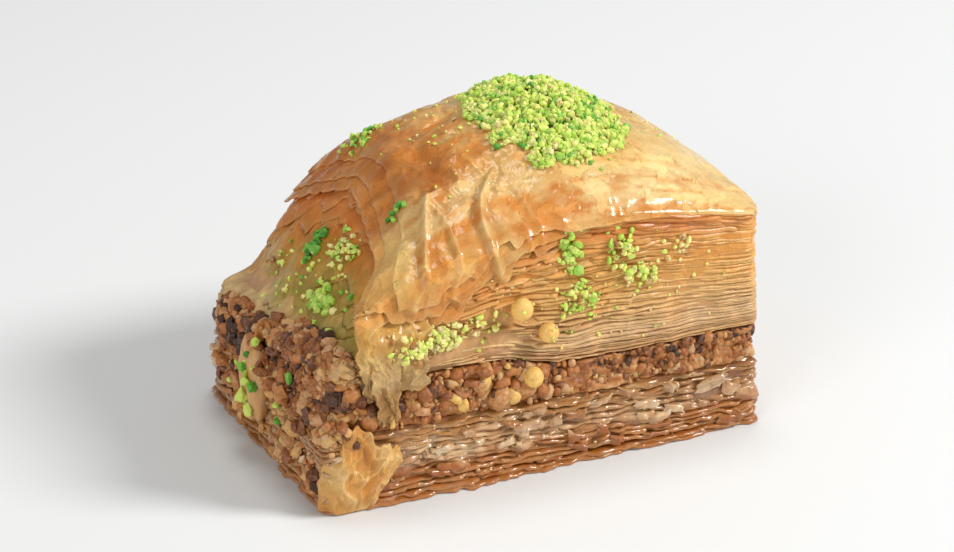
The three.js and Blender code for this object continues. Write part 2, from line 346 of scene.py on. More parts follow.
def makePiece(name, bm, material, replaced=None, thickness=0.0, chopped=False):
    bm.normal_update()
    for face in bm.faces:
        face.smooth = not chopped
    surfaces.append(BVHTree.FromBMesh(bm))
    mesh = bpy.data.meshes.new(name)
    bm.to_mesh(mesh)
    bm.free()
    mesh.materials.append(material)
    piece = bpy.data.objects.new(name, mesh)
    bpy.context.scene.collection.objects.link(piece)
    if thickness:  # a leaf made as one surface gets its thickness inwards
        wall = piece.modifiers.new("thickness", "SOLIDIFY")
        wall.thickness = thickness * millimetre
        wall.offset = -1
    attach(piece, "root")
    if replaced:
        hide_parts(replaced)
    print(name, "made,", sum(len(face.vertices) - 2 for face in mesh.polygons), "triangles")


def landing(start, direction):  # where a straight line first meets the piece, in mm, and its facing
    best = (None, None, math.inf)
    for surface in surfaces:
        point, facing, _, reach = surface.ray_cast(Vector(start) * millimetre, Vector(direction))
        if point is not None and reach < best[2]:
            best = (point / millimetre, facing, reach)
    return best[:2]


def insideOutline(dice, radii, depths):  # a place on the outline, and the factor that moves it inwards
    x, y = (float(v) for v in outline(np.array(dice.random()), radii))
    return x, y, 1 - dice.uniform(*depths) / math.hypot(x, y)


# the finishes; heights and each key that ends in Size or Depth are real lengths in mm

def pastryFinish(name, look):
    material, tree = newFinish(name)
    place = addNode(tree, "ShaderNodeTexCoord").outputs["Object"]
    height = addNode(tree, "ShaderNodeSeparateXYZ", links={"Vector": place}).outputs["Z"]
    tone, edge, toast, stain = [
        addNode(tree, "ShaderNodeAttribute", {"attribute_name": value}).outputs["Fac"]
        for value in meshValues]
    patches, fibres, flaked, film = [
        addNode(tree, "ShaderNodeTexNoise", {
            "Scale": 1 / (look[part + "Size"] * millimetre), "Detail": detail,
            "Roughness": roughness, "Distortion": distortion}, {"Vector": place}).outputs["Fac"]
        for part, detail, roughness, distortion in (
            ("patch", 3.0, 0.6, 0.0), ("fibre", 4.0, 0.65, 0.0),
            ("flake", 6.0, 0.55, 0.8), ("film", 1.0, 0.5, 0.0))]
    plates = addNode(tree, "ShaderNodeValToRGB", {"stops": [  # where a leaf's skin has flaked off in steps
        (0.41, "#000000"), (0.425, "#808080"), (0.53, "#808080"), (0.545, "#ffffff")]},
        {"Fac": flaked}).outputs["Color"]
    ranges = {  # what is read, its range, and the range that it becomes
        "rise": (height, [h * millimetre for h in look["heights"]], (0, 1)),
        "brown": (tone, (0.1, 1.0), (0, look["brownShare"])),
        "pale": (tone, (-0.1, -1.0), (0, look["paleShare"])),
        "spots": (patches, (0.5, 0.72), (0, look["mottle"])),
        "speckle": (fibres, (0.3, 0.7), (look["speckle"], 1.06)),
        "plateTint": (plates, (0, 1), (look["flakeTint"], 1.05)),
        "roughness": (patches, (0.3, 0.7), look["roughness"]),
    }
    scaled = {
        part: addNode(tree, "ShaderNodeMapRange", {
            "From Min": read[0], "From Max": read[1], "To Min": given[0], "To Max": given[1],
        }, {"Value": source}).outputs["Result"]
        for part, (source, read, given) in ranges.items()}
    moved = addNode(tree, "ShaderNodeMath", {"operation": "MULTIPLY_ADD", 1: look["patchShift"]},
                    {0: patches, 2: scaled["rise"]})
    heated = addNode(tree, "ShaderNodeMath", {"operation": "ADD", "use_clamp": True},
                     {0: toast, 1: scaled["spots"]})
    edged = addNode(tree, "ShaderNodeMath", {"operation": "MULTIPLY", 1: look["edgeShare"]}, {0: edge})
    colour = addNode(tree, "ShaderNodeValToRGB", {"stops": look["stops"]},
                     {"Fac": moved.outputs[0]}).outputs["Color"]
    tints = {"brown": scaled["brown"], "pale": scaled["pale"], "toasted": heated.outputs[0],
             "edgeColour": edged.outputs[0], "stain": stain}
    for part, share in tints.items():
        colour = addNode(tree, "ShaderNodeMixRGB", {"Color2": linear(look[part])},
                         {"Fac": share, "Color1": colour}).outputs["Color"]
    for shade in (scaled["speckle"], scaled["plateTint"]):
        colour = addNode(tree, "ShaderNodeMixRGB", {"blend_type": "MULTIPLY", "Fac": 1.0},
                         {"Color1": colour, "Color2": shade}).outputs["Color"]
    relief = addNode(tree, "ShaderNodeMath", {"operation": "MULTIPLY_ADD", 1: look["flakeStep"]},
                     {0: plates, 2: fibres})
    bump = addNode(tree, "ShaderNodeBump", {
        "Strength": look["bump"], "Distance": look["bumpDepth"] * millimetre}, {"Height": relief.outputs[0]})
    filmBump = addNode(tree, "ShaderNodeBump", {  # butter or syrup lies on it as an uneven film
        "Strength": 1.0, "Distance": look["filmDepth"] * millimetre}, {"Height": film})
    shader = addNode(tree, "ShaderNodeBsdfPrincipled", {
        "IOR": 1.47, "Specular IOR Level": look["shine"], "Subsurface Weight": look["glow"],
        "Subsurface Scale": look["glowDepth"] * millimetre, "Subsurface Radius": (1.0, 0.5, 0.2),
        "Coat Weight": look["gloss"], "Coat Roughness": look["glossRoughness"], "Coat IOR": 1.48,
    }, {"Base Color": colour, "Roughness": scaled["roughness"],
        "Normal": bump.outputs["Normal"], "Coat Normal": filmBump.outputs["Normal"]})
    addNode(tree, "ShaderNodeOutputMaterial", links={"Surface": shader.outputs["BSDF"]})
    return material


def crumbFinish(name, look):  # nuts and crumbs: each one's tone picks its colour
    material, tree = newFinish(name)
    place = addNode(tree, "ShaderNodeTexCoord").outputs["Object"]
    tone = addNode(tree, "ShaderNodeAttribute", {"attribute_name": "tone"}).outputs["Fac"]
    grain = addNode(tree, "ShaderNodeTexNoise", {
        "Scale": 1 / (look["grainSize"] * millimetre), "Detail": 3.0, "Roughness": 0.6,
    }, {"Vector": place}).outputs["Fac"]
    centred = addNode(tree, "ShaderNodeMath", {"operation": "SUBTRACT", 1: 0.5}, {0: grain})
    moved = addNode(tree, "ShaderNodeMath", {"operation": "MULTIPLY_ADD", 1: look["grainShift"]},
                    {0: centred.outputs[0], 2: tone})
    colour = addNode(tree, "ShaderNodeValToRGB", {"stops": look["stops"]}, {"Fac": moved.outputs[0]})
    bump = addNode(tree, "ShaderNodeBump", {
        "Strength": 0.6, "Distance": look["bumpDepth"] * millimetre}, {"Height": grain})
    shader = addNode(tree, "ShaderNodeBsdfPrincipled", {
        "Roughness": look["roughness"], "IOR": 1.47, "Subsurface Weight": look["glow"],
        "Subsurface Scale": look["glowDepth"] * millimetre, "Subsurface Radius": look["glowRadius"],
        "Coat Weight": look["gloss"], "Coat Roughness": 0.2,
    }, {"Base Color": colour.outputs["Color"], "Normal": bump.outputs["Normal"]})
    addNode(tree, "ShaderNodeOutputMaterial", links={"Surface": shader.outputs["BSDF"]})
    return material


# filo leaves rolled thin and baked dry in butter: satin, golden, browner where an edge stands free
crispLook = {
    "heights": (11.5, 26.0), "patchSize": 3.2, "fibreSize": 0.35, "patchShift": 0.2,
    "stops": [(0.0, "#8c5c34"), (0.12, "#b3845a"), (0.24, "#c6a179"), (0.4, "#d7aa71"), (0.6, "#dfa558"),
              (0.85, "#dd9848"), (1.0, "#d3833a")],
    # the toasted colour also carries painted shade on the terraces under the lips at the left end
    "brown": "#ad6126", "brownShare": 0.55, "pale": "#eccb8c", "paleShare": 0.55, "toasted": "#c86c22",
    "edgeColour": "#ecc684", "edgeShare": 0.25, "stain": "#8c7c22", "speckle": 0.9,
    "flakeSize": 2.0, "flakeStep": 1.2, "flakeTint": 0.87, "mottle": 0.3,
    "roughness": (0.34, 0.56), "shine": 0.15, "bump": 0.35, "bumpDepth": 0.05, "glow": 0.15,
    "glowDepth": 0.3, "gloss": 0.25, "glossRoughness": 0.15, "filmSize": 0.8, "filmDepth": 0.05,
}
# the outermost leaves, brushed with butter and toasted: smoother and shinier, cream to orange
crustLook = crispLook | {
    "heights": (20.0, 33.0), "patchSize": 2.4, "patchShift": 0.35,
    "stops": [(0.0, "#d2954c"), (0.3, "#dcab5e"), (0.55, "#e5c178"), (0.8, "#ebd094"), (1.0, "#deb46e")],
    # toasted and stain also carry painted shade in the fold, by the left lip and in the dip between the
    # ridges; pale also carries painted highlight on the ridges and at the right
    "brown": "#b96c2c", "pale": "#efcc8c", "toasted": "#cd8439", "edgeColour": "#ebc688", "stain": "#a85612",
    "flakeSize": 3.2, "flakeStep": 1.6, "flakeTint": 0.88, "mottle": 0.5,
    "roughness": (0.26, 0.46), "shine": 0.12, "bump": 0.8, "bumpDepth": 0.07, "glow": 0.3,
    "glowDepth": 0.6, "gloss": 0.5, "glossRoughness": 0.12, "filmSize": 1.6, "filmDepth": 0.06,
}
# the same leaves pressed together and soaked in sugar syrup: amber, wet, half clear
soakedLook = crispLook | {
    "heights": (0.0, 8.0), "patchSize": 2.2, "fibreSize": 0.3, "patchShift": 0.5,
    "stops": [(0.0, "#b87c34"), (0.25, "#ac6a22"), (0.5, "#d09c62"), (0.75, "#e0b68c"), (1.0, "#a66e36")],
    "brown": "#7a4416", "brownShare": 0.6, "pale": "#efd3ae", "paleShare": 0.6, "toasted": "#9c5008",
    "edgeColour": "#d8a566", "edgeShare": 0.35, "speckle": 0.84,
    "flakeSize": 1.1, "flakeStep": 0.4, "flakeTint": 0.95, "mottle": 0.2,
    "roughness": (0.14, 0.3), "shine": 0.2, "bump": 0.7, "bumpDepth": 0.12, "glow": 0.3,
    "glowDepth": 0.8, "gloss": 1.0, "glossRoughness": 0.06, "filmSize": 0.9, "filmDepth": 0.12,
}
# walnut, chopped and bound with syrup: dark skins and tan flesh with a damp shine
nutLook = {
    "stops": [(0.0, "#3a2010"), (0.22, "#683c1e"), (0.42, "#a66430"), (0.6, "#bc7e42"),
              (0.76, "#caa076"), (0.86, "#d6a257"), (1.0, "#ebc06c")],
    "grainSize": 0.35, "grainShift": 0.6, "bumpDepth": 0.1, "roughness": 0.55, "gloss": 0.08,
    "glow": 0.3, "glowDepth": 0.8, "glowRadius": (1.0, 0.55, 0.25),
}
# raw pistachio, ground: bright green flesh, yellow hearts and a few brown skins, dry and matt
pistachioLook = {
    "stops": [(0.0, "#2f7a22"), (0.15, "#62a836"), (0.35, "#b2d254"), (0.6, "#d6e470"),
              (0.8, "#ece486"), (0.93, "#f3e2a2"), (1.0, "#a8733e")],
    "grainSize": 0.5, "grainShift": 0.2, "bumpDepth": 0.04, "roughness": 0.55, "gloss": 0.05,
    "glow": 0.35, "glowDepth": 0.6, "glowRadius": (0.7, 1.0, 0.25),
}
crispPastry = pastryFinish("bakedFilo", crispLook)
toastedCrust = pastryFinish("butteredFiloCrust", crustLook)
soakedPastry = pastryFinish("syrupSoakedFilo", soakedLook)
choppedWalnut = crumbFinish("choppedWalnut", nutLook)
groundPistachio = crumbFinish("groundPistachio", pistachioLook)
print("finishes ready")


# leaves seen at the cut sides: rings with a rounded edge that run a few millimetres into the piece

ringRows = [  # how far in, as a share of the depth, and which side: 1 above, -1 below
    (1, 1), (0.62, 1), (0.38, 1), (0.2, 1), (0.09, 0.95), (0.03, 0.7), (0, 0),
    (0.03, -0.7), (0.09, -0.95), (0.3, -1), (1, -1), (1, 1),
]
blockEnds = [(1, 0), (0.5, 0), (0.1, 0)], [(0.1, 1), (0.3, 1), (0.5, 1), (0.75, 1), (1, 1)]  # in and up
ring = {"deepest": 0.6, "tipReach": 0.9, "edgeReach": 0.25, "seamFade": 8, "lowest": 0.01}
perimeter = 4 * (halfLength + halfWidth)
dustPatches = [(2.8, 20.5, 1.6, 3.2), (8.8, 20.8, 2.2, 2.6), (-12.0, 16.8, 6.0, 1.5)]  # x, z, reach


def leafStain(x, y, z):  # pistachio dust: on the left end's leaves and round the patches on the front
    front = smooth(-12, -15, y)
    total = 0.25 + 0.55 * smooth(-18, -20.5, x) + 0.5 * bell(x, -18, 3) * bell(y, -2, 7)
    total = total * smooth(-14, -17.5, x) * smooth(13, 16, z)
    for patchX, patchZ, reachX, reachZ in dustPatches:
        total = total + 0.45 * front * bell(x, patchX, reachX) * bell(z, patchZ, reachZ)
    return np.clip(total * (1 + 0.8 * roughNoise(x / 1.1, (y + z) / 0.9, 39)), 0, 0.8)


def allRound(form, run, *place):  # the way round ends as it began, so that no seam shows at the back
    fade = smooth(perimeter - ring["seamFade"], perimeter, run)
    return mix(form(*place, run), form(*place, run - perimeter), fade)


def addLeaf(bm, leaf, columns):
    inShares, sides = np.array(ringRows).T

    def shape(u, v):
        row = np.rint(v * (len(ringRows) - 1)).astype(int)
        inShare, side = inShares[row], sides[row]
        x, y = outline(u, leaf["radii"])
        run = u * perimeter
        x = np.where(x < 0, -x * leaf["left"](y) / halfLength, x)
        innerX = np.clip(x, leaf["left"](y) + leaf["depthLeft"], halfLength - leaf["depth"])
        innerY = np.clip(y, leaf["depth"] - halfWidth, halfWidth - leaf["depth"])
        length = np.hypot(innerX - x, innerY - y)
        inset = np.minimum(allRound(leaf["inset"], run, x, y), ring["deepest"] * length)
        go = (inset + inShare * (length - inset)) / length
        px, py = mix(x, innerX, go), mix(y, innerY, go)
        tipDip = allRound(leaf["tipDip"], run, x, y) * np.exp(-inShare * length / ring["tipReach"])
        z = allRound(leaf["height"], run, px, py) + side * leaf["thickness"](px, py) / 2 + tipDip
        z = np.maximum(z, ring["lowest"])
        return px, py, z, {
            "edge": np.exp(-inShare * length / ring["edgeReach"]), "stain": leafStain(px, py, z),
            "tone": allRound(leaf["tone"], run, px, py, z), "toast": leaf["toast"](px, py, z)}

    addSheet(bm, columns, len(ringRows) - 1, shape)


def addBlock(bm, block, radii, low, high, push):  # rows run from the underside's middle to the top's
    rows = block["rows"]
    steps = np.array(blockEnds[0] + [(0, step / rows) for step in range(rows + 1)] + blockEnds[1])

    def shape(u, v):
        inShare, up = steps[np.rint(v * (len(steps) - 1)).astype(int)].T
        x, y = outline(u, radii)
        px, py = x * (1 - inShare), y * (1 - inShare)
        z = mix(low(px, py), high(px, py), up)
        names = push(x, z, 0 * x)
        values = {name: allRound(lambda x, z, r: push(x, z, r)[name], u * perimeter, x, z) for name in names}
        out = values.pop("out") * (inShare == 0) / np.hypot(x, y)
        return px + out * x, py + out * y, z, values

    addSheet(bm, block["columns"], len(steps) - 1, shape)


# the soaked base: wet leaves pressed until they nearly merge, round a solid body

base = {
    "leaves": 17, "columns": 380, "depth": 5.0, "uneven": 0.5, "seed": 3, "fill": 1.25, "fillVaries": 0.55,
    "inset": -0.15, "ragged": 0.26, "torn": 0.4, "lumps": 0.6, "wave": 0.4, "ripple": 0.14, "tipDip": 0.16,
    "flare": 0.75, "flareFall": 8.5, "amberLow": 3.4, "amberRise": 0.3, "amber": 0.85,
    "spillOver": (-20.0, -24),  # where filling lies on the leaves
    "body": {"columns": 260, "rows": 14, "inset": 0.95, "lumps": 0.3, "bottom": 0.02},
    "crumbs": 260, "crumb": (0.1, 0.32), "crumbInset": (0.15, 0.6), "crumbTone": (-1.2, 0.7),
    "radii": {"backLeft": 2.0, "frontLeft": 1.2, "frontRight": 1.5, "backRight": 1.5},
}


def baseTone(x, z, run, k):
    bent = z + 0.5 * noise(run / 5, z / 2, 35)
    tone = 0.9 * roughNoise(run / 2.6, bent / 1.6, 19, 2) + 0.6 * noise(run / 1.3, k * 2.3, 20) - 0.15
    smeared = smooth(1.5, 0.2, baseTop(x) - z) * (0.4 + 0.8 * roughNoise(run / 3, z / 1.5, 28))
    return tone + 1.2 * smooth(4, 18, x) + 0.8 * smooth(*base["spillOver"], x) + smeared


def baseAmber(x, y, z):  # the syrup's colour gathers low down
    ragged = 1.1 * roughNoise((x + y) / 5, z / 3, 18) + 0.8 * roughNoise((x + y) / 1.2, z / 0.9, 27)
    amberTop = base["amberLow"] + base["amberRise"] * smooth(-10, 12, x) + ragged
    amber = base["amber"] * smooth(amberTop + 0.8, amberTop - 0.6, z)
    return amber * (1 - 0.4 * smooth(*base["spillOver"], x))


def baseLeaf(k):
    dice = random.Random(base["seed"] * 100 + k)
    share = (k + 0.5 + base["uneven"] * dice.uniform(-1, 1)) / base["leaves"]
    free = float(smooth(0, 0.2, share) * smooth(1, 0.9, share))  # the top and the bottom leaf lie flat

    def height(x, y, run):
        wave = base["wave"] * roughNoise(run / 5, share * 5, 31)
        wave = wave + base["ripple"] * roughNoise(run / 1.5, k / 1.5, 33)
        return share * baseTop(x) + wave * free

    def inset(x, y, run):
        ragged = 0.5 * base["ragged"] * (1 + roughNoise(run / 0.9, k * 4.1, 15))
        torn = base["torn"] * smooth(0.1, 0.4, noise(run / 1.4, k * 6.3, 16))
        lumps = 0.5 * base["lumps"] * (1 + roughNoise(run / 2.4, share * 3.5, 14))
        flare = base["flare"] * math.exp(-share * base["flareFall"])
        flare = flare * (1 + 0.5 * roughNoise(run / 1.6, k, 17) + 0.9 * bell(x, -8, 9))
        return base["inset"] + ragged + torn + lumps - flare

    def thickness(x, y):
        own = base["fill"] + base["fillVaries"] * roughNoise((x - y) / 2.2, k * 2.1, 12)
        return own * baseTop(x) / base["leaves"]

    return {
        "radii": base["radii"], "left": lambda y: np.full_like(y, -halfLength),
        "depth": base["depth"], "depthLeft": base["depth"],
        "height": height, "inset": inset, "thickness": thickness, "toast": baseAmber,
        "tipDip": lambda x, y, run: base["tipDip"] * (noise(run / 1.1, k * 2.2, 11) - 0.5),
        "tone": lambda x, y, z, run: baseTone(x, z, run, k),
    }


def makeBase():
    bm = newShape()
    for k in range(base["leaves"]):
        addLeaf(bm, baseLeaf(k), base["columns"])
    body = base["body"]

    def push(x, z, run):
        out = body["lumps"] * roughNoise(run / 3, z / 1.5, 13) - body["inset"]
        return {"out": out, "tone": 0.3 + baseTone(x, z, run, 0), "toast": baseAmber(x, run, z)}

    addBlock(bm, body, base["radii"], lambda x, y: body["bottom"], lambda x, y: baseTop(x), push)
    closeSeams(bm)
    dice = random.Random(base["seed"])
    crumbs = []
    for _ in range(base["crumbs"]):  # bits of leaf that cling to the wet sides
        x, y, inwards = insideOutline(dice, base["radii"], base["crumbInset"])
        place = (x * inwards, y * inwards, dice.uniform(0.3, baseTop(x) - 0.1))
        radius = mix(*base["crumb"], dice.random() ** 2)
        crumbs.append(crumb(place, radius, dice, dice.uniform(*base["crumbTone"]), flats=2, stretch=0.6))
    addCrumbs(bm, crumbs)
    makePiece("soakedBase", bm, soakedPastry, "base_pastry")


makeBase()


# the walnut filling: a rough body with chopped nuts standing out of its sides

nuts = {
    "body": {"columns": 480, "rows": 22, "inset": 0.8, "lumps": 0.7, "gap": 0.1},
    "radii": {"backLeft": 3.0, "frontLeft": 6.0, "frontRight": 2.0, "backRight": 2.0}, "seed": 8,
    "ground": 2300, "groundRadius": (0.18, 0.58), "groundInset": (0.7, 1.0), "tones": (0.02, 0.95),
    "chopped": [  # x and y from and to, how many, smallest and largest radius
        {"x": (-20, 1), "y": (-16.1, -15.3), "count": 230, "radii": (0.25, 1.3)},
        {"x": (1, 24), "y": (-15.7, -14.9), "count": 190, "radii": (0.2, 0.9)},
        {"x": (-23, 24), "y": (15.3, 16.0), "count": 330, "radii": (0.25, 1.2)},
        {"x": (-24.5, -23.5), "y": (-12, 14), "count": 250, "radii": (0.25, 1.35)},
        {"x": (23.7, 24.4), "y": (-14.5, 14.5), "count": 200, "radii": (0.2, 1.0)},
    ],
    "placed": [  # place, radius and tone of the ones that catch the eye
        ((-12.0, -15.9, 11.3), 1.25, 0.28), ((-9.6, -15.8, 10.6), 1.0, 0.42),
        ((-7.0, -15.9, 12.2), 1.1, 0.6), ((-5.0, -15.9, 10.6), 0.9, 0.5),
        ((-4.3, -16.3, 9.2), 0.9, 0.9), ((-2.0, -16.6, 10.9), 1.1, 0.97),
        ((-0.4, -16.7, 15.6), 1.15, 0.98), ((-3.5, -16.9, 18.8), 1.25, 1.05),
        ((-16.6, -14.6, 11.0), 1.2, 0.85), ((-23.9, -11.0, 11.0), 1.1, 0.82),
    ],
    "wholeTone": 0.86,  # above it a nut is round and unbroken
}
kernel = {"at": (-25.2, 1.6, 7.8), "size": (1.4, 2.6, 4.8), "tone": 0.8, "groove": 0.35, "grooveWidth": 0.22}


def shadeUnderLeaves(x, z):  # painted shade: at the right the band's upper half, under the overhanging leaves, is darker than its lower half
    up = (z - baseTop(x)) / (nutTop(x) - baseTop(x))
    return float(smooth(2, 9, x) * mix(0.12, -0.16, smooth(0.25, 0.6, up)))


def choppedNuts(dice):
    crumbs = []
    for strip in nuts["chopped"]:
        for _ in range(strip["count"]):
            x, y = dice.uniform(*strip["x"]), dice.uniform(*strip["y"])
            small, large = strip["radii"]
            radius = small + (large - small) * dice.random() ** 3
            z = dice.uniform(baseTop(x) + 0.3 * radius, nutTop(x) - 0.2 * radius)
            tone = clamp(dice.gauss(0.56, 0.24) + shadeUnderLeaves(x, z), *nuts["tones"])
            crumbs.append(crumb((x, y, z), radius, dice, tone, flats=5, stretch=0.4))
    for _ in range(nuts["ground"]):  # the paste is full of finely ground nut
        x, y, inwards = insideOutline(dice, nuts["radii"], nuts["groundInset"])
        radius = mix(*nuts["groundRadius"], dice.random() ** 2)
        z = dice.uniform(baseTop(x) + 0.3, nutTop(x) + 0.1)
        tone = 0.5 + shadeUnderLeaves(x, z) + 0.3 * float(roughNoise((x + y) / 2.2, z / 1.2, 26))
        tone = clamp(tone + dice.gauss(0, 0.17), *nuts["tones"])
        crumbs.append(crumb((x * inwards, y * inwards, z), radius, dice, tone, flats=2, stretch=0.4))
    for place, radius, tone in nuts["placed"]:
        flats = 0 if tone > nuts["wholeTone"] else 4
        crumbs.append(crumb(place, radius, dice, tone, flats, stretch=0.12, fine=True))
    return crumbs


def halfKernel():  # one walnut half stands upright at the left end
    ball, faces = smoothBall
    lobes = 1 + 0.16 * roughNoise(ball[:, 1] * 1.6, ball[:, 2] * 1.6, 31)
    lobes = lobes + 0.2 * creased(ball[:, 1] * 3 + 1, ball[:, 2] * 4, 32) - 0.05
    lobes = lobes - kernel["groove"] * bell(ball[:, 1], 0, kernel["grooveWidth"]) * (ball[:, 0] < 0)
    return ball * lobes[:, None] * kernel["size"] + kernel["at"], faces, kernel["tone"]


def makeFilling():
    bm = newShape()
    body = nuts["body"]

    def push(x, z, run):
        lumps = roughNoise(run / 2.0, z / 1.6, 21) + 0.6 * roughNoise(run / 0.8, z / 0.7, 23)
        streaks = 0.28 * roughNoise(run / 3.0, z / 0.5, 25) * smooth(-4, 4, x)
        tone = 0.5 + 0.25 * roughNoise(run / 1.3, z / 0.9, 24) + streaks
        return {"out": body["lumps"] * lumps - body["inset"], "tone": tone}

    addBlock(bm, body, nuts["radii"], lambda x, y: baseTop(x) + body["gap"], lambda x, y: nutTop(x), push)
    closeSeams(bm)
    addCrumbs(bm, choppedNuts(random.Random(nuts["seed"])) + [halfKernel()])
    makePiece("nutFilling", bm, choppedWalnut, "nut_filling")


makeFilling()


# the crisp leaves: each stops at one of the lips at the left end

crisp = {
    "count": 54, "columns": 420, "depth": 4.0, "depthLeft": 9.0, "inset": 0.1, "seed": 12,
    "fill": 1.1, "unevenFill": 0.3, "underCrust": 0.45, "leastRoom": 1.4, "lipOver": (1.5, -2.5),
    "bunch": 3, "bunchRelief": 0.5, "bunching": 0.8, "stagger": 1.7,
    "wave": 0.7, "ripple": 0.4, "bow": 0.6, "lumps": 0.35, "sag": 0.5, "tipDip": 0.35,
    "looseness": 0.4, "raggedness": 0.2, "tear": 1.5, "bite": 0.6, "cutRelief": 0.26,
    "lipShares": (0.9, 0.76, 0.65, 0.54),  # the leaves above each share of the height stop at that lip
    "radiiLow": {"backLeft": 3.0, "frontLeft": 5.5, "frontRight": 1.5, "backRight": 1.5},
    "radiiHigh": {"backLeft": 3.0, "frontLeft": 6.5, "frontRight": 2.4, "backRight": 1.5},
    "body": {"columns": 160, "rows": 8, "inset": 1.0, "over": 0.4, "under": 0.3,
             "x": [-25, -21.5, -18.5, -15, -11], "reach": [0.42, 0.5, 0.58, 0.66, 0.86]},
}


def leafShares():  # how far up each leaf lies, in uneven bunches
    dice = random.Random(crisp["seed"])
    steps = [1 + crisp["bunching"] * dice.uniform(-1, 1) for _ in range(crisp["count"] + 1)]
    ends = np.cumsum(steps)
    return (ends / ends[-1])[:-1]


leafShare = leafShares()


def leafHeight(x, y, share):  # the leaves left of a lip sink by its drop and share what room is left
    low = nutTop(x) + layers["gap"]
    drop, reach = 0.0, 1.0
    before, after = crisp["lipOver"]
    for lip, limit, last in zip(lips, crisp["lipShares"], (1.0,) + crisp["lipShares"]):
        gone = smooth(lipEdge(lip, y) + before, lipEdge(lip, y) + after, x)
        drop = drop + lip["drop"] * gone
        reach = reach - (last - limit) * gone
    room = np.maximum(fullTop(x, y) - drop - low - crisp["underCrust"], crisp["leastRoom"])
    return low + room * share / reach


def leafSpacing(x, y):
    return (fullTop(x, y) - nutTop(x)) / crisp["count"]


def calm(x, y):  # 1 where the cut pressed the leaves together, at the right of the front
    return smooth(-4, 14, x) * smooth(-8, -14, y)


def merged(x, share):  # 1 where the lowest leaves soaked up syrup and stuck together
    return smooth(0.3, 0.12, share) * smooth(-6, 2, x)


def leftEnd(x):
    return smooth(-14, -17, x)


def crispLeaf(k):
    dice = random.Random(crisp["seed"] * 100 + k)
    share, topmost = leafShare[k], crisp["count"] - 1
    own = 0.5 * (leafShare[min(k + 1, topmost)] - leafShare[max(k - 1, 0)]) * crisp["count"]
    lip = next((i for i, limit in enumerate(crisp["lipShares"]) if share > limit), len(lips))
    top, bottom = ((1.0,) + crisp["lipShares"] + (0.0,))[lip:lip + 2]
    bunch = k // crisp["bunch"]  # leaves that stuck together end together
    bunchShare = leafShare[min(bunch * crisp["bunch"] + 1, topmost)]
    step = random.Random(bunch).uniform(-0.6, 0.6) + dice.uniform(-0.1, 0.1)
    within = crisp["stagger"] * (2 * (bunchShare - bottom) / (top - bottom) - 1 + step)
    loose = crisp["looseness"] * dice.random() ** 2

    def left(y):
        if lip == len(lips):
            return np.full_like(y, -halfLength + 0.25 * abs(within))
        wander = 1.1 * roughNoise(y / 2.2, bunch * 1.7, 41) + 0.15 * noise(y / 0.8, k * 2.9, 41)
        return lipEdge(lips[lip], y) + within + wander

    def height(x, y, run):
        wave = crisp["wave"] * roughNoise(run / 6, k / 4.0, 43)
        wave = wave + crisp["ripple"] * roughNoise(run / 1.8, k / 1.3, 44)
        bow = crisp["bow"] * roughNoise(run / 11, share * 3, 42) * math.sin(math.pi * share)
        lumps = crisp["lumps"] * roughNoise(x / 2.0, y / 2.0, 83) * leftEnd(x)
        move = (wave * leafSpacing(x, y) + bow) * mix(1, 0.35, calm(x, y)) + lumps
        return leafHeight(x, y, share) + move

    def inset(x, y, run):
        ragged = 0.5 * crisp["raggedness"] * (1 + roughNoise(run / 1.1, k * 5.3, 45))
        torn = crisp["tear"] * np.clip(noise(run / 5, k * 7.7, 46) - 0.45, 0, 1)
        bitten = crisp["bite"] * smooth(0.2, 0.36, noise(run / 2.2, k * 9.1, 53))
        sunk = crisp["bunchRelief"] * smooth(0.1, 0.7, noise(run / 7, bunch * 7.7, 57))
        cut = crisp["cutRelief"] * (1 + roughNoise(run / 4, share * 5, 50))
        apart = mix(1, 0.25, calm(x, y)) * (1 - 0.8 * merged(x, share))
        return crisp["inset"] + cut + (loose + ragged + torn + bitten + sunk) * apart

    def thickness(x, y):  # the gaps between the leaves come and go
        uneven = crisp["unevenFill"] * roughNoise((x - y) / 2.5, k * 2.1, 52)
        uneven = uneven + crisp["fill"] - 0.15 * smooth(0, -6, x)
        return own * leafSpacing(x, y) * mix(uneven, 1.15, np.maximum(merged(x, share), 0.8 * calm(x, y)))

    def tipDip(x, y, run):
        sag = -crisp["sag"] * smooth(-13, -18, x) * (1 + roughNoise(run / 3, k / 3, 51))
        return crisp["tipDip"] * leafSpacing(x, y) * noise(run / 1.2, k * 2.2, 47) + sag

    def tone(x, y, z, run):
        streak = 1.1 * roughNoise(run / 6, k / 1.7, 48) + 0.3 * noise(run / 0.7, k * 3.0, 49)
        patches = (1.6 * roughNoise(x / 1.6, y / 1.6, 82) - 0.35) * leftEnd(x)
        pale = 0.9 * bell(z, 14.6, 1.2) * smooth(3, -3, x) * smooth(-18, -13, x)
        pale = pale + 0.15 * smooth(-13, -20, x) + 0.5 * smooth(-19, -22, x)
        return streak * mix(1, 0.5, calm(x, y)) + patches - pale - 0.3 * smooth(12, 22, x)

    def toast(x, y, z):
        under = bell(x, -9.5, 4.5) * bell(z, 22.5, 3.0) * smooth(-10, -14, y)
        band = smooth(23.6, 25.2, z + 0.12 * (x - 8)) * smooth(0, 3, x) * smooth(22, 16, x)
        # browner on the terraces under the lips: painted shade there, plus real toasting of the topmost
        # leaves
        toastAndLipShade = 0.6 * bell(x, -14.5, 3.5) * smooth(-15, -11, y) + 0.25 * smooth(0.75, 1, share)
        toastAndLipShade = toastAndLipShade + 0.3 * smooth(-13, -17, x) * smooth(-22, -19, x)
        return np.clip(0.75 * under + 0.8 * band * smooth(-8, -14, y) + toastAndLipShade, 0, 1)

    high = crisp["radiiHigh"]
    radii = {corner: mix(low, high[corner], share) for corner, low in crisp["radiiLow"].items()}
    return {
        "radii": radii, "left": left, "depth": crisp["depth"], "depthLeft": crisp["depthLeft"],
        "height": height, "inset": inset, "thickness": thickness, "tipDip": tipDip,
        "tone": tone, "toast": toast,
    }


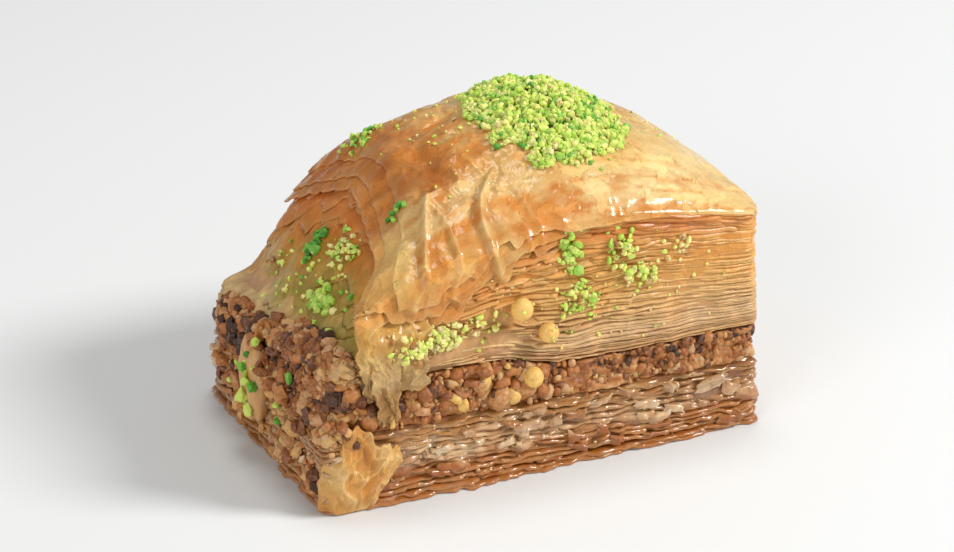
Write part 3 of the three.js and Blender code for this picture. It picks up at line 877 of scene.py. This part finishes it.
def addCrispBody(bm):
    body = crisp["body"]
    addBlock(bm, body, crisp["radiiLow"], lambda x, y: nutTop(x) + body["over"],
             lambda x, y: leafHeight(x, y, np.interp(x, body["x"], body["reach"])) - body["under"],
             lambda x, z, run: {"out": -body["inset"], "tone": 0.5})


def makeLeaves(name, first, last, replaced=None):
    bm = newShape()
    for k in range(first, last):
        addLeaf(bm, crispLeaf(k), crisp["columns"])
    if first == 0:
        addCrispBody(bm)
    closeSeams(bm)
    makePiece(name, bm, crispPastry, replaced)


makeLeaves("crispLeavesLow", 0, 18, "top_pastry")
makeLeaves("crispLeavesMiddle", 18, 36)
makeLeaves("crispLeavesHigh", 36, crisp["count"])


# the crust: the three outermost sheets, which hang over the front edge

crust = {
    "columns": 250, "rows": 175, "underColumns": 170, "underRows": 120, "thickness": 0.24, "spacing": 0.28,
    "above": 0.15, "back": 16.3, "edge": -15.9, "rightEdge": 24.9, "bentEnd": 0.5,
    "shortOfLip": 1.6, "frontCorner": 4.2, "lipLift": -0.45, "lipReach": 1.2,
    "wrinkle": 0.18, "crackle": 0.08, "blister": 0.14, "buckle": 0.22, "crumple": 0.3,
    "step": 0.14, "peel": 0.15,
    "hangShare": 0.32, "hemLow": 20.3, "hemRise": 5.6, "hemFall": 1.2, "hemTear": 1.3,
    "bulge": (0.45, 0.65), "pleat": 0.14, "swing": 0.25,
}
creases = [  # ridges of folded sheet: x at the front edge, how it bends back, width and height
    {"front": -6.6, "bend": 0.10, "bendFrom": -15.0, "from": -7.7, "width": 0.42, "height": 0.7},
    {"front": -9.9, "lean": 0.05, "from": -10.5, "width": 0.3, "height": 0.3},
    {"front": -13.4, "lean": 0.45, "from": -6.0, "width": 0.4, "height": 0.55},
    {"front": -2.6, "lean": -0.35, "from": -12.0, "width": 0.5, "height": 0.2},
]
toastAndShadePatches = [  # where the oven's heat caught the crust, and painted shade in the brown fold from (-8.5, -3.5) to (-4, 2) and near the left lip at x -11 to -12.5: centre, reach and strength
    (-7, 3, 3.0, 2.4, 0.9), (-4, 2, 2.6, 2.0, 0.7), (-8.5, -3.5, 3.4, 4.5, 1.1), (-11, 1, 2, 6, 0.9),
    (-0.5, -14.2, 5.0, 1.8, 0.6), (-8, -14, 3.4, 4.0, 0.55), (10, -15.9, 9.0, 1.2, 0.7),
    (-12.5, -14, 1.6, 3, 0.3),
    (-3, 9, 3, 4, 0.4), (16, 8, 4, 5, 0.35), (-9.2, -5.5, 1.7, 3.4, 0.6), (-2, -5, 3, 3, 0.45),
    (-11, 9, 2.5, 5, 0.8), (-1, -15, 3.5, 2.4, 0.7), (-12, -18, 4, 2.5, 0.6), (-12.5, 4, 2.6, 5, 0.9),
]


def crustLeft(y):
    return lipEdge(lips[0], y) + crust["shortOfLip"] - crust["frontCorner"] * smooth(-9.5, -15.5, y)


def draping(x):  # 1 where the sheets hang down, 0 along the cut shoulder
    return smooth(3, -2, x)


def tornHem(x, order):  # how low the hanging sheet reaches
    row = crust["spacing"] * order * 9
    level = crust["hemLow"] + crust["hemRise"] * smooth(-12.5, 0, x) - crust["hemFall"] * smooth(8, 23, x)
    ragged = 0.4 * roughNoise(x / 2.4, row, 64) + 0.12 * noise(x / 0.6, row, 68)
    torn = crust["hemTear"] * smooth(0.15, 0.45, noise(x / 2.7, 0.5 + row, 69)) * smooth(1, -3, x)
    hem = level + ragged * mix(0.4, 1, draping(x)) + torn
    return hem + 0.9 * draping(x) - (1.0 * draping(x) + 0.35) * order


def creaseRelief(x, y):
    total = 0.0
    for crease in creases:
        line = crease["front"] + crease.get("bend", 0) * (y - crease.get("bendFrom", 0)) ** 2
        line = line + crease.get("lean", 0) * (y + 15.5)
        away = (x - line) / crease["width"]
        form = np.exp(-away ** 2) - 0.45 * np.exp(-((away + 1.9) / 1.5) ** 2)
        total = total + crease["height"] * form * smooth(crease["from"], crease["from"] - 4, y)
    crumpled = smooth(3, -2, x) * smooth(-1, -8, y)  # fine wrinkles where the sheet bends over the edge
    bent = x + 0.3 * y + 1.2 * noise(x / 5, y / 4, 36)
    fine = creased(bent / 2.1, y / 3.4, 37) + 0.5 * creased(bent / 1.0 + 3, y / 1.5, 38)
    return total + crust["crumple"] * crumpled * fine


def shoulderPhase(x, y):  # counts the sheets that end one after the other along the front shoulder
    return 3.4 * smooth(-11.0, -16.2, y) + 0.45 * noise(x / 7, y / 2, 54) + 0.1 * noise(x / 1.3, y, 56)


def peeled(x, y):  # 1 where a patch of the outermost sheet has come off
    kept = 0.25 * smooth(0, 12, x) + 0.4 * smooth(-9, -13, y)
    return smooth(0.1, 0.16, roughNoise(x / 5.5 + 3, y / 3.5, 95, 4) - kept)


def crustTop(x, y):
    quiet = mix(1, 0.5, smooth(6, 20, x))
    wrinkles = crust["wrinkle"] * roughNoise(x / 6.5, y / 3.0, 51, 4) * quiet
    crackle = crust["crackle"] * roughNoise(x / 3.5, y / 0.6, 53)
    crackle = crackle + crust["blister"] * creased(x / 1.5 + noise(x / 3, y / 3, 99), y / 1.1, 98) * quiet
    valley = -0.6 * bell(x, -8.2, 1.5) * bell(y, -2.5, 3.5) - 0.5 * bell(x, -4.5, 2.2) * bell(y, 2.8, 1.3)
    steps = crust["step"] * np.floor(shoulderPhase(x, y)) * smooth(0, 4, x)
    lift = crust["lipLift"] * np.exp(-np.clip(x - crustLeft(y), 0, None) / crust["lipReach"])
    lift = lift * smooth(-13, -9, y) * (1 + 0.8 * roughNoise(y / 2.5, 0 * y, 55))
    buckled = crust["buckle"] * roughNoise(x / 3.2, y / 3.6, 94) * smooth(6, -3, x)
    form = wrinkles + crackle + valley + buckled + lift + creaseRelief(x, y)
    form = form - crust["bentEnd"] * smooth(23.2, 25, x)
    return fullTop(x, y) + crust["above"] + form - steps - crust["peel"] * peeled(x, y)


def toastAndShadeAt(x, y):
    total = 0.0
    for centreX, centreY, reachX, reachY, strength in toastAndShadePatches:
        total = total + strength * bell(x, centreX, reachX) * bell(y, centreY, reachY)
    total = total + 0.15 * smooth(3, -6, x) + 0.4 * smooth(-2, -9, x) * smooth(-10, -6, y)
    mottle = 0.55 * roughNoise(x / 1.8, y / 1.2, 57, 4) + 0.45 * roughNoise(x / 4.5, y / 0.6, 58)
    return np.clip(total * (1 + mottle) + 0.3 * np.clip(mottle, 0, 1), 0, 0.95)


def browningAndDipShade(x, y):  # the butter browned most at the left, and the dip between the ridges is darkened as painted shade
    leftSide = smooth(-3, -9, x) * smooth(-10, -6, y) * (0.42 + 0.5 * roughNoise(x / 2.2, y / 1.6, 100))
    return np.clip(leftSide + 0.4 * bell(x, -8.6, 1.5) * bell(y, -5.8, 2.6), 0, 0.75)


def crustValues(x, y, down, onTop, relief, edge, order):
    # painted highlight: the crease ridges are paler, less toasted and less stained
    ridgeHighlight = np.clip(1.7 * (relief - 0.18), 0, 1)
    bare = peeled(x, y) * onTop
    # paler towards the right and the back: partly the crust's own cream colour, partly painted highlight
    pale = 0.75 * smooth(8, 20, x) * smooth(3, -10, y) * onTop + 0.9 * ridgeHighlight
    tone = 0.7 * roughNoise(x / 4.5, y / 1.6, 66) + 0.4 * roughNoise(x / 1.2, y / 0.5, 59) - pale
    # browner near the left edge over the lip: painted shade
    tone = tone + 0.8 * bell(x, -12.0, 2.4) * smooth(-8, 0, y) * onTop
    # lighter at the far right: painted light against the shade where the crust bends over the corner
    tone = tone - 0.2 * bare - 0.6 * smooth(18, 23, x)
    phase = shoulderPhase(x, y)
    line = bell(phase - np.floor(phase), 0.0, 0.12) * smooth(-9, -12, y) * smooth(-2, 3, x) * onTop
    toast = toastAndShadeAt(x, np.where(onTop, y, crust["edge"] - 0.6 * down)) * (1 - 0.8 * ridgeHighlight)
    toast = np.clip((toast + 0.6 * line) * (1 - 0.2 * bare), 0, 1)
    return {"tone": tone, "edge": np.maximum(edge, 2.4 * bare * (1 - bare)),
            "toast": np.clip(toast + 0.15 * order, 0, 1), "stain": browningAndDipShade(x, y) * onTop * (1 - 0.7 * ridgeHighlight)}


def makeCrust(name, order, columns, rows):  # order 0 is the outermost sheet
    drop = crust["spacing"] * order

    def spread(u, v, onTop):  # x from the left edge to the right one, y from the front edge to the back
        back = np.clip((v - crust["hangShare"]) / (1 - crust["hangShare"]), 0, 1)
        backEdge = crust["back"] + 0.3 * roughNoise(u * 30, 0 * u + drop, 61)
        y = np.where(onTop, mix(crust["edge"], backEdge, back), crust["edge"])
        inward = -1.1 * order - 0.7 if order else 1.4 * smooth(-10, -15, y)
        ragged = 0.5 * roughNoise(y / 3.5, drop, 62) + 0.07 * noise(y / 0.6, drop, 60)
        leftX = crustLeft(y) + inward + ragged
        rounding = 1.6 * smooth(-13.4, -16.2, y) ** 2
        rightX = crust["rightEdge"] + 0.15 * roughNoise(y / 1.5, 0 * y + drop, 63) - rounding
        return mix(leftX, rightX, u), y, leftX

    def shape(u, v):
        onTop = v >= crust["hangShare"]
        x, y, leftX = spread(u, v, onTop)
        top, hem = crustTop(x, y) - drop, tornHem(x, order)
        down = np.clip(1 - v / crust["hangShare"], 0, 1) * np.clip(top - hem, 0.3, None)
        hanging = smooth(0, 1.2, down)
        bulge = mix(*crust["bulge"], draping(x)) * np.sin(np.clip(down / 1.6, 0, 1) * math.pi / 2)
        folds = creaseRelief(x + 0.5 * noise(x / 4, down / 1.5, 97) * down, crust["edge"] - down) * hanging
        pleats = roughNoise(x / 0.9 + 0.2 * down, down / 5, 67, 2) * hanging * smooth(0, -5, x)
        pleats = crust["pleat"] * pleats
        swing = crust["swing"] * roughNoise(x / 3.0, down / 2.5, 65) * hanging * mix(0.4, 1, draping(x))
        z = np.where(onTop, top, top - down - 0.6 * folds)
        y = np.where(onTop, y, y - bulge - 0.55 * folds - swing - pleats + 0.9 * drop)
        relief = np.where(onTop, creaseRelief(x, y), folds) + 2 * pleats
        edge = nearEdge(0.35, x - leftX, np.where(onTop, 9, z - hem))
        return x, y, z, crustValues(x, y, down, onTop, relief, edge, order)

    bm = newShape()
    addSheet(bm, columns, rows, shape)
    makePiece(name, bm, toastedCrust, thickness=crust["thickness"])


makeCrust("underCrust", 2, crust["underColumns"], crust["underRows"])
makeCrust("middleCrust", 1, crust["underColumns"], crust["underRows"])
makeCrust("topCrust", 0, crust["columns"], crust["rows"])


# scraps of leaf: a flake at the front left corner, a drape above it, and torn bits on the base

flake = {"thickness": 0.2, "proud": 0.25, "crumple": 0.5, "bottom": 0.2, "columns": 110, "rows": 90}
drape = {"crumple": 0.3, "bulge": 0.35, "tuck": 1.1, "stain": 0.28, "columns": 60, "rows": 90}
drapeStrips = [  # x from and to, z from and to, how far they stand out and how wide the tip is
    {"from": -21.0, "to": -17.4, "low": 11.6, "high": 20.6, "proud": 0.15, "tip": 0.7},
    {"from": -17.8, "to": -13.2, "low": 12.6, "high": 20.2, "proud": 0.2, "tip": 0.65},
    {"from": -19.8, "to": -16.0, "low": 9.4, "high": 18.6, "proud": 0.35, "tip": 0.6},
]
scraps = {
    "count": 150, "width": (0.9, 3.4), "height": (0.35, 1.3), "lean": (-0.35, 0.35), "tone": (-0.8, 0.15),
    "low": 0.5, "belowTop": 0.3, "proud": 0.1, "crumple": 0.35, "tuck": 0.5,
    "columns": 14, "rows": 7, "seed": 15,
}


def makeFlake():
    def shape(u, v):
        x = mix(-25.4 + 5.4 * u, -24.0 + 7.4 * u, smooth(0, 1, v)) + 0.3 * roughNoise(v * 6, u * 2, 71)
        topEdge = 10.4 - 4.2 * u + 0.9 * roughNoise(u * 5, 0 * u, 72) + 0.5 * noise(u * 14, 0 * u, 78)
        veins = creased(u * 3.5 + 0.8 * noise(v * 2, u * 3, 87), v * 2.8, 88)
        veins = veins + 0.5 * creased(u * 8, v * 6 + u, 89)
        crumple = roughNoise(u * 3.2 + v, v * 2.2, 73) + 0.4 * roughNoise(u * 9, v * 5, 74)
        crumple = crumple + 0.8 * (veins - 0.4)
        out = flake["proud"] + flake["crumple"] * (0.7 + crumple) * smooth(0, 0.25, v)
        curl = (2.6 + roughNoise(v * 5, 0 * v, 90)) * smooth(0.3, 0, u) * (0.6 + 0.4 * v)
        edge = nearEdge(0.3, u * 5, (1 - u) * 5, v * 9, (1 - v) * 9)
        # paler on the raised crumples and veins and browner in the hollows: painted highlight and shade
        values = {"edge": edge, "tone": -0.9 * crumple - 0.5 * veins, "toast": 0.3 - 0.4 * crumple}
        return x, -halfWidth - out + curl, mix(flake["bottom"], topEdge, v), values

    bm = newShape()
    addSheet(bm, flake["columns"], flake["rows"], shape)
    makePiece("cornerFlake", bm, toastedCrust, thickness=flake["thickness"])


def makeCornerDrape():  # the ends of a few leaves, which slid down over the filling
    bm = newShape()
    radii = crisp["radiiLow"]
    outX, outY = outline(np.linspace(0, 1, 2001), radii)
    atFront = (outY < -halfWidth + radii["frontLeft"]) & (outX < 0)
    for order, strip in enumerate(drapeStrips):
        def shape(u, v):
            wide = mix(strip["tip"], 1, smooth(0, 0.8, v))
            along = 0.5 + (u - 0.5) * wide + 0.22 * roughNoise(v * 4.5, u + order, 75)
            x = mix(strip["from"], strip["to"], along)
            y = np.interp(x, outX[atFront], outY[atFront])
            low = strip["low"] + 0.9 * roughNoise(u * 3, order + 0 * u, 76) + 0.25 * noise(u * 12, 0 * u, 81)
            bent = u * 3 + 0.9 * noise(v * 3, u * 2 + order, 80)
            folds = creased(bent, v * 3.4 + order, 77) + 0.5 * creased(bent * 2.3, v * 7, 84) - 0.4
            tucked = drape["tuck"] * smooth(0.72, 1, v + 0.12 * noise(u * 4, order + 0 * u, 85))
            crumpled = drape["crumple"] * folds * (1 - v ** 3)
            out = strip["proud"] + drape["bulge"] * bell(v, 0.45, 0.3) + crumpled - tucked
            # the tone is paler on the fold crests and browner in the fold hollows: painted highlight and
            # shade
            return x - 0.35 * out, y - 0.95 * out, mix(low, strip["high"], v), {
                "edge": nearEdge(0.35, u * 6, (1 - u) * 6, v * 9), "stain": drape["stain"],
                "tone": 0.5 - 0.7 * v - 1.0 * folds + 0.7 * roughNoise(u * 3, v * 6 + order, 79),
                "toast": 0.3 * smooth(0.1, 0.6, roughNoise(u * 2.2, v * 3 + order * 3, 86))}

        addSheet(bm, drape["columns"], drape["rows"], shape)
    makePiece("cornerDrape", bm, crispPastry, thickness=flake["thickness"])


def makeScraps():  # torn bits of wet leaf, pressed onto the base's sides
    dice = random.Random(scraps["seed"])
    bm = newShape()
    for k in range(scraps["count"]):
        middle, lean = dice.random(), dice.uniform(*scraps["lean"])
        wide, tall = dice.uniform(*scraps["width"]), dice.uniform(*scraps["height"])
        lowest, highest = 0.5 * tall + scraps["low"], layers["baseTop"] - 0.5 * tall - scraps["belowTop"]
        centre = dice.uniform(lowest, highest)
        ownTone = dice.uniform(*scraps["tone"])

        def shape(u, v):
            across = (u - 0.5) * wide * (1 + 0.35 * roughNoise(v * 2.5, k + 0 * v, 91))
            x, y = outline(np.mod(middle + across / perimeter, 1), base["radii"])
            z = centre + (v - 0.5) * tall * (1 + 0.4 * roughNoise(u * 3, k + 0 * u, 92)) + lean * across
            rim = np.minimum.reduce([u, 1 - u, v + 0.15, 1 - v])
            folds = creased(u * wide / 1.2, v * tall / 1.1 + k, 93) - 0.3
            out = scraps["proud"] + scraps["crumple"] * folds - scraps["tuck"] * smooth(0.22, 0, rim)
            away = out / np.hypot(x, y)
            # the tone is paler on the fold crests and darker in the hollows: painted highlight and shade
            return x * (1 + away), y * (1 + away), np.clip(z, 0.1, layers["baseTop"]), {
                "edge": nearEdge(0.06, rim), "tone": ownTone - 0.6 * folds, "toast": baseAmber(x, y, z)}

        addSheet(bm, scraps["columns"], scraps["rows"], shape)
    makePiece("baseScraps", bm, soakedPastry, thickness=flake["thickness"])


makeFlake()
makeCornerDrape()
makeScraps()


# filling that spilt over the leaves at the left end

spilt = {
    "seed": 5, "radii": (0.18, 0.95), "low": 1.4, "high": 16.0, "leftmost": -25.4, "lift": 0.3,
    "edgeAt": [-16.5, -12, -4.5, 0.5, 12], "edge": [-19.6, -21.0, -21.8, -22.8, -23.8],  # its x at each y
    "ragged": 0.4, "tones": (0.02, 0.82),
    "rays": [  # from a box, along a direction, how many
        {"from": (-25.5, -16.4, 60), "to": (-19, 12.5, 60), "along": (0, 0, -1), "count": 1700},
        {"from": (-60, -15, 8), "to": (-60, 13, 17), "along": (1, 0, 0), "count": 1000},
        {"from": (-60, -14, 0), "to": (-60, 13, 9), "along": (1, 0, 0), "count": 300},
        {"from": (-64, -53.5, 8), "to": (-58, -49.5, 17), "along": (0.7, 0.7, 0), "count": 1100},
    ],
}


def spiltCrumb(dice, ray):  # nothing if the ray lands outside the spilt patch
    point, facing = landing([dice.uniform(a, b) for a, b in zip(ray["from"], ray["to"])], ray["along"])
    if point is None or point[0] < spilt["leftmost"] or not spilt["low"] < point[2] < spilt["high"]:
        return []
    if point[0] > np.interp(point[1], spilt["edgeAt"], spilt["edge"]) + dice.gauss(0, spilt["ragged"]):
        return []
    radius = mix(*spilt["radii"], dice.random() ** 3)
    tone = 0.38 + 0.5 * float(roughNoise(point[1] / 3, point[2] / 2, 29)) + dice.gauss(0, 0.2)
    tone += 0.3 * float(smooth(9.5, 6.5, point[2])) + 0.12 * float(smooth(12, 14, point[2]))
    place = point + facing * spilt["lift"] * radius
    return [crumb(place, radius, dice, clamp(tone, *spilt["tones"]), flats=4, stretch=0.35)]


def makeSpilt():
    dice = random.Random(spilt["seed"])
    bm = newShape()
    crumbs = []
    for ray in spilt["rays"]:
        for _ in range(ray["count"]):
            crumbs += spiltCrumb(dice, ray)
    addCrumbs(bm, crumbs)
    makePiece("spiltFilling", bm, choppedWalnut, chopped=True)


makeSpilt()


# ground pistachio: a heap on top, and what rolled down to the sides

pistachio = {
    "heapGrains": 3300, "grain": (0.18, 0.46), "sink": 0.25, "stretch": 0.4, "yellow": 0.03, "seed": 21,
    "heapOver": 1.4, "heapEdge": 0.27, "heapTone": (0.52, 0.21), "heapTones": (0.1, 0.95),
}
sides = {  # the axis that the rays follow, where they start on it and their direction
    "above": (2, 60, (0, 0, -1)), "front": (1, -60, (0, 1, 0)), "back": (1, 60, (0, -1, 0)),
    "right": (0, 60, (-1, 0, 0)), "left": (0, -60, (1, 0, 0)),
}
scatters = [  # side, two corners of the patch, count, grain radii and tones, green 0 to yellow 1
    ("above", (-1.5, -12), (16, 10), 130, (0.2, 0.45), (0.2, 0.8)),
    ("above", (-11.5, 6.5), (-7, 12), 40, (0.15, 0.45), (0.1, 0.6)),
    ("above", (-12, -13), (22, 13), 150, (0.08, 0.22), (0.3, 1.0)),
    ("above", (-18.4, 2.2), (-15.8, 5.2), 34, (0.25, 0.5), (0.0, 0.2)),
    ("above", (-17.5, -5), (-14.6, 2), 50, (0.15, 0.4), (0.2, 1.0)),
    ("above", (-20.6, -7), (-18.4, 0), 60, (0.2, 0.5), (0.2, 0.6)),
    ("above", (-22, -11), (-16, 12), 70, (0.12, 0.4), (0.1, 0.9)),
    ("above", (-13.6, -8), (-11.5, -5.4), 9, (0.2, 0.45), (0.0, 0.3)),
    ("front", (0.8, 20.5), (3.8, 26), 60, (0.12, 0.5), (0.2, 0.6)),
    ("front", (1.2, 15.5), (5.4, 21.5), 50, (0.12, 0.45), (0.25, 0.7)),
    ("front", (6, 20), (10, 25.5), 45, (0.12, 0.45), (0.3, 0.9)),
    ("front", (8.5, 17.5), (12.5, 21.5), 40, (0.12, 0.45), (0.4, 1.0)),
    ("front", (12.5, 20), (17, 23.5), 16, (0.1, 0.4), (0.5, 1.0)),
    ("above", (0.2, -4.2), (1.2, -3.2), 3, (0.45, 0.75), (0.84, 0.92)),
    ("front", (-18.5, 15), (-5.5, 18.8), 180, (0.12, 0.48), (0.5, 1.0)),
    ("front", (-14, 12), (22, 25), 110, (0.08, 0.22), (0.3, 1.0)),
    ("back", (-19, 10), (22, 24), 60, (0.12, 0.5), (0.2, 0.8)),
    ("right", (-14, 10), (14, 26), 45, (0.12, 0.5), (0.2, 0.8)),
    ("left", (-14, 2), (12, 16), 22, (0.3, 0.75), (0.02, 0.6)),
]


def grain(dice, start, along, radii, tones):  # nothing if the ray misses
    point, facing = landing(start, along)
    if point is None:
        return []
    radius = dice.uniform(*radii)
    place = point + facing * radius * (1 - pistachio["sink"] * 2)
    tone = dice.uniform(*tones)
    if dice.random() < pistachio["yellow"]:
        tone = 1.0
    return [crumb(place, radius, dice, tone, stretch=pistachio["stretch"])]


def heapGrain(dice):  # nothing where the heap is too thin
    over = pistachio["heapOver"]
    x, y = (centre + dice.uniform(-over, over) * reach
            for centre, reach in zip(heap["centre"], heap["reach"]))
    density = float(heapDensity(x, y))
    ragged = 0.12 * float(roughNoise(x / 2.0, y / 2.0, 81))
    if density + ragged < pistachio["heapEdge"] or dice.random() > density + 0.35:
        return []
    radius = dice.uniform(*pistachio["grain"])
    pile = heap["height"] * (density + ragged - 0.25) / 0.75
    z = float(crustTop(np.array(x), np.array(y))) + dice.uniform(0.25, 1) * pile + 0.3 * radius
    tone = clamp(dice.gauss(*pistachio["heapTone"]), *pistachio["heapTones"])
    return [crumb((x, y, z), radius, dice, tone, stretch=pistachio["stretch"])]


def makePistachio():
    dice = random.Random(pistachio["seed"])
    bm = newShape()
    crumbs = []
    for side, low, high, count, radii, tones in scatters:
        axis, away, along = sides[side]
        corners = [corner[:axis] + (away,) + corner[axis:] for corner in (low, high)]
        for _ in range(count):
            start = [dice.triangular(a, b) for a, b in zip(*corners)]
            crumbs += grain(dice, start, along, radii, tones)
    strewn = len(crumbs)
    while len(crumbs) < strewn + pistachio["heapGrains"]:
        crumbs += heapGrain(dice)
    addCrumbs(bm, crumbs)
    makePiece("groundPistachioCrumbs", bm, groundPistachio, chopped=True)


makePistachio()
